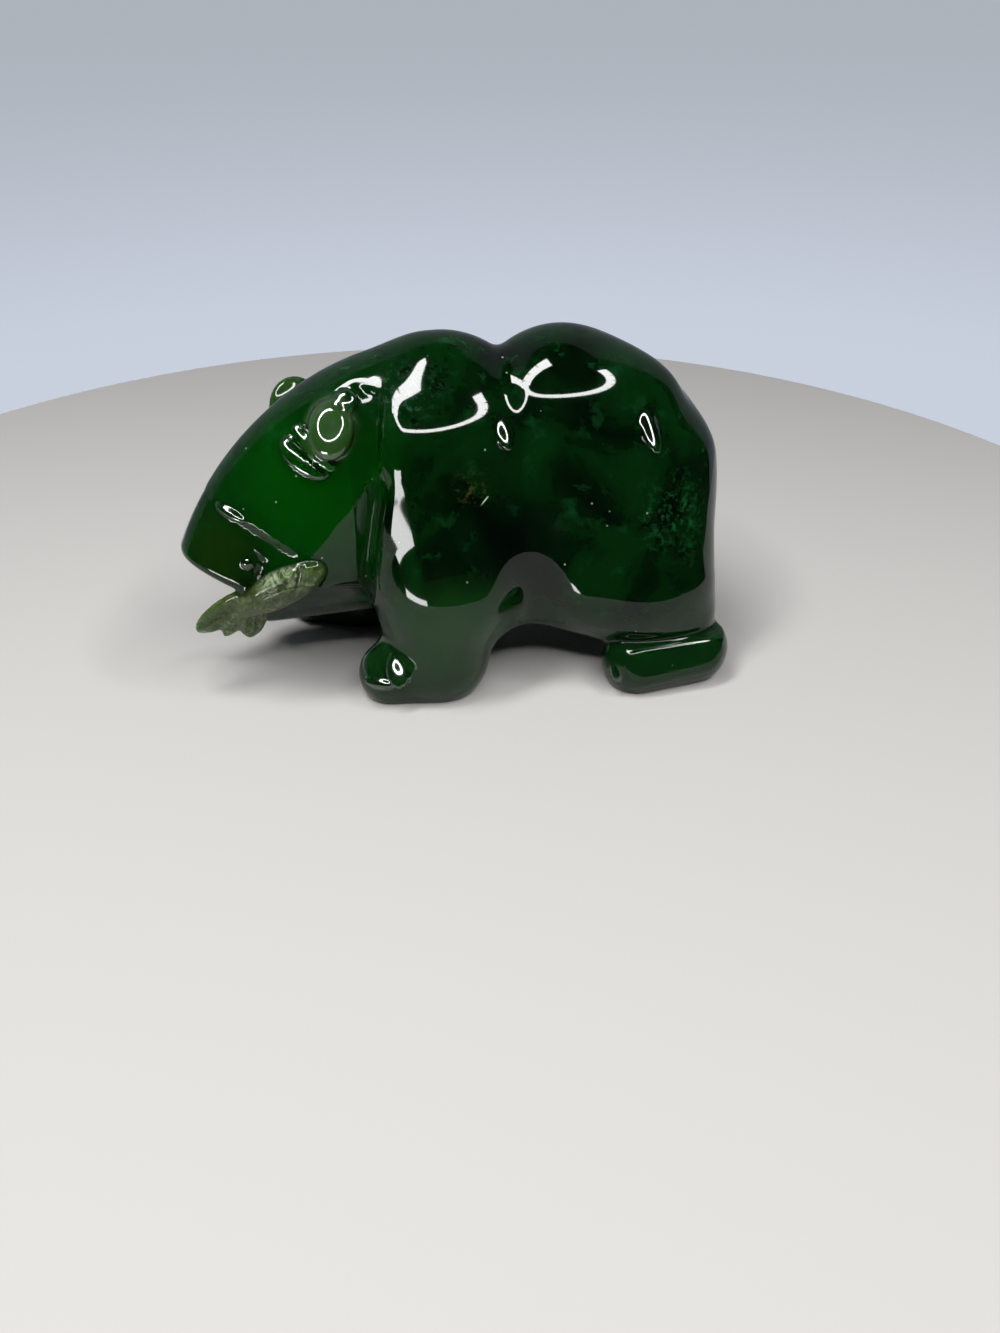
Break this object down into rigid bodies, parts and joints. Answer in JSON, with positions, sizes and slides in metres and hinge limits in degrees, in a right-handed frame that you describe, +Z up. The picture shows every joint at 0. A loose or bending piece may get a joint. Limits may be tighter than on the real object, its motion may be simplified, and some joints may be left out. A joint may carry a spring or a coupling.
{
  "type": "carved stone bear figurine",
  "caption": "Polished green jade bear walking with its head low and a fish held across its mouth, a solid stone carving for a desk or shelf.",
  "frame": {"origin": "on the surface it stands on, under the middle of the figurine's box", "axes": "+Z up, -X the way the bear walks, -Y the bear's left side"},
  "size_m": [0.0472, 0.0256, 0.029],
  "materials": {
    "jade": "polished"
  },
  "bodies": {
    "root": {"bear_with_fish": "jade"}
  },
  "joints": []
}
